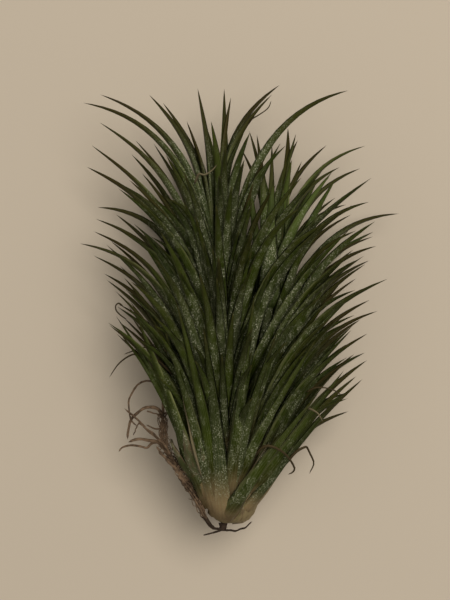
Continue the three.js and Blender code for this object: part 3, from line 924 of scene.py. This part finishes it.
def tubePlace(points, radius, ragged, number):
    look = roots
    points = [Vector(point) for point in points]
    tipFrom, tipThick = look["tip"]

    def place(corner):
        share = corner.z
        point, tangent = spline(points, share)
        side = tangent.orthogonal().normalized()
        if abs(tangent.z) < 0.95:
            side = tangent.cross(Vector((0, 0, 1))).normalized()
        up = side.cross(tangent)
        size = radius * (1 - look["taper"] * share) * (1 + ragged * draw(number + int(share * 40), 14))
        wave = Vector((draw(number, 15), draw(number, 16), draw(number, 17)))
        wavering = math.sin(share * look["waveTurn"] + number)
        point = point + wave * math.sin(share * math.pi) * wavering * look["wave"]
        tip = 1 if share < tipFrom else tipThick
        return point + (side * corner.x + up * corner.y) * size * tip, {}

    return place


def addRoot(bm, template, points, kind, number=0, thick=1):
    radius, ragged, firstDraw = roots["kinds"][kind]
    addBent(bm, template, tubePlace(points, radius * thick, ragged, number + firstDraw), {})


def makeRoots(template, material):
    look = roots
    bm = startPiece()
    trunk = [Vector(point) for point in look["lines"][0][1]]
    for number in range(look["strands"]):
        points = []
        for step, point in enumerate(trunk):
            turn = 2 * math.pi * number / look["strands"] + look["strandTurn"] * step
            points.append(point + Vector((math.cos(turn), 0, math.sin(turn))) * look["strandReach"])
        addRoot(bm, template, points, "strand", number)
    for number, (thick, points) in enumerate(look["lines"][1:]):
        addRoot(bm, template, points, "single", number, thick)
    for number, points in enumerate(look["fineLines"]):
        addRoot(bm, template, points, "fine", number)
    start, span = look["fibreSpan"]
    close, looser = look["loose"]
    for number in range(look["fibres"]):
        first = start + span * number / look["fibres"]
        points = []
        for step in range(look["fibreSteps"]):
            point, _ = spline(trunk, min(1, first + look["fibreStep"] * step))
            x, y, z = (draw(number + step, salt) for salt in (18, 19, 20))
            points.append(point + Vector((x, 0.6 * y, z)) * (close + looser * step))
        addRoot(bm, template, points, "fibre", number)
    addRoot(bm, template, look["stub"], "stub")
    finishPiece(bm, "wiryRoots", material, ["roots"])


curls = {
    "sides": 8,
    "steps": 16,
    "roll": (50, 70),  # how far a bit is turned about its line at its start, and how much more by its end
    "start": (0.3, 8),  # its width's share at its start, and how fast it gets full
    "channel": 0.3,  # depth as a share of the width
    "thick": 0.35,
    "thinning": 0.5,  # the share of its thickness that it loses by its edges
    "pale": (2, 3, 7),  # which of the bits are pale
    "bits": [  # width, dryness and middle line of each
        (2.2, 1, [(13, 28, 12), (17, 34, 20), (20.7, 35.6, 23), (26.1, 33.3, 21), (29.7, 29.7, 17),
                  (32.4, 24.8, 13), (31.5, 22.5, 12), (29.3, 21.6, 12)]),
        (2.0, 1, [(28, 25, 4), (32, 31, 10), (35.5, 33.7, 12), (37.8, 34, 11), (39.6, 30.6, 9),
                  (41.2, 26, 7), (39, 21.2, 6)]),
        (1.5, 0.8, [(37.5, 51.8, 19), (39.9, 51.1, 22), (42.3, 49.5, 23), (44.3, 45.7, 21)]),
        (1.6, 0.7, [(-12, 150, 22), (-10.1, 153.9, 27), (-7.6, 153.7, 28), (-4.5, 155.5, 28),
                    (-2.2, 158, 26)]),
        (0.7, 1, [(11.5, 177.6, 2), (13.4, 180, 6), (16, 181.4, 9), (20.2, 184.3, 10),
                  (21.8, 187.6, 9)]),
        (1.6, 1, [(-22, 66, 16), (-28, 72, 16), (-34.6, 73.8, 13), (-37.8, 74.5, 10), (-41.2, 73.8, 6),
                  (-46.3, 70.2, 1), (-51, 63.7, -4)]),
        (1.4, 0.9, [(-20, 72, 16), (-26, 77, 15), (-33.8, 77.8, 12), (-44.1, 74.5, 2)]),
        (3.4, 0.75, [(-8, 20, 15.5), (-12.5, 34, 21.5), (-15, 45, 23.5), (-17.5, 58, 24)]),
        (1.2, 1, [(-45.4, 96.1, -12.8), (-47.2, 97.2, -13), (-48.1, 96.2, -10), (-47.5, 94.2, -5),
                  (-45.4, 92.2, -1), (-42.8, 90.4, 1.6)]),
        (0.9, 1, [(37, 58.4, 17), (40, 60.4, 19), (43.5, 60.9, 20), (47.5, 60.2, 18), (50.5, 58.8, 14),
                  (53, 57, 10)]),
    ],
}


def curlPlace(width, points):
    look = curls
    points = [Vector(point) for point in points]
    rolled, further = look["roll"]
    narrow, opening = look["start"]

    def place(corner):
        share = corner.z
        point, tangent = spline(points, share)
        across = tangent.cross(Vector((0, 0, 1))).normalized()
        across = turned(across, tangent, rolled + further * share)
        under = across.cross(tangent)
        wide = width * (1 - share ** 3) * min(1, narrow + opening * share)
        side = corner.x
        depth = look["channel"] * wide * (1 - side ** 2)
        if onKeelSide(corner):
            depth += look["thick"] * (1 - abs(side) * look["thinning"])
        return point + across * (0.5 * wide * side) + under * depth, {"share": share, "across": side}

    return place


def makeCurls(template, material):
    bm = startPiece()
    for number, (width, dry, points) in enumerate(curls["bits"]):
        values = {"tint": 1 if number in curls["pale"] else -1, "age": 1, "dry": dry}
        addBent(bm, template, curlPlace(width, points), values)
    finishPiece(bm, "witheredLeaves", material, [])


studio = {
    "photoMiddle": (-8.15, 4.55),  # the photo's middle in the plant's frame
    "photoHeight": 270,  # what the photo's height spans at the stem
    "cameraDistance": 800,
    "sensorHeight": 24,
    "floorColour": colour(0.59, 0.525, 0.44),
    "floorRough": 0.9,
    "floorSize": 3,  # metres, as the lamps' places and sizes are
    "lamps": [  # name, place, size and power
        ("keyLight", (0.34, 0.34, 1.58), 1.0, 18),
        ("fillLight", (-0.8, -0.3, 1.3), 1.2, 1.2),
    ],
    "lampColour": (1, 0.93, 0.82),
    "skyColour": colour(1, 0.93, 0.83),
    "skyStrength": 0.25,
}


def makeStudio():
    look = studio
    scene = bpy.context.scene
    camera = bpy.data.cameras.new("photoCamera")
    camera.sensor_fit = "VERTICAL"
    camera.sensor_height = look["sensorHeight"]
    camera.lens = look["sensorHeight"] * look["cameraDistance"] / look["photoHeight"]
    holder = bpy.data.objects.new("photoCamera", camera)
    x, y = look["photoMiddle"]
    holder.location = Vector((x, y, plant["axisHeight"] + look["cameraDistance"])) * mm
    scene.collection.objects.link(holder)
    scene.camera = holder

    bm = bmesh.new()
    bmesh.ops.create_grid(bm, x_segments=1, y_segments=1, size=look["floorSize"])
    floorMesh = bpy.data.meshes.new("paleFloor")
    bm.to_mesh(floorMesh)
    bm.free()
    floor = bpy.data.objects.new("paleFloor", floorMesh)
    scene.collection.objects.link(floor)
    sockets = {"Base Color": look["floorColour"], "Roughness": look["floorRough"]}
    floorMesh.materials.append(Finish("paleFloor").surface(sockets))

    for name, place, size, power in look["lamps"]:
        lamp = bpy.data.lights.new(name, "AREA")
        lamp.shape = "DISK"
        lamp.size = size
        lamp.energy = power
        lamp.color = look["lampColour"]
        lampHolder = bpy.data.objects.new(name, lamp)
        lampHolder.location = place
        lampHolder.rotation_euler = (-Vector(place)).to_track_quat("-Z", "Y").to_euler()
        scene.collection.objects.link(lampHolder)

    world = bpy.data.worlds.new("softRoom")
    world.use_nodes = True
    background = world.node_tree.nodes["Background"]
    background.inputs["Color"].default_value = look["skyColour"]
    background.inputs["Strength"].default_value = look["skyStrength"]
    scene.world = world
    scene.view_settings.view_transform = "Standard"


makeStudio()
print("studio ready")
leafSides = leafShape["sides"]
leafTemplates = [straightTemplate("leafTemplate", leafSides, steps) for steps in leafShape["steps"]]
rootTemplate = straightTemplate("rootTemplate", roots["sides"], roots["steps"])
leafSkin = leafFinish()
makeHead("mainHeadLeaves", mainHead, ["main_head"], leafTemplates, leafSkin)
makeHead("offsetHeadLeaves", offsetHead, ["offset_head"], leafTemplates, leafSkin)
makeSheaths(sheathFinish())
makeRoots(rootTemplate, rootFinish())
makeCurls(straightTemplate("curlTemplate", curls["sides"], curls["steps"]), leafSkin)
print("pieces ready")
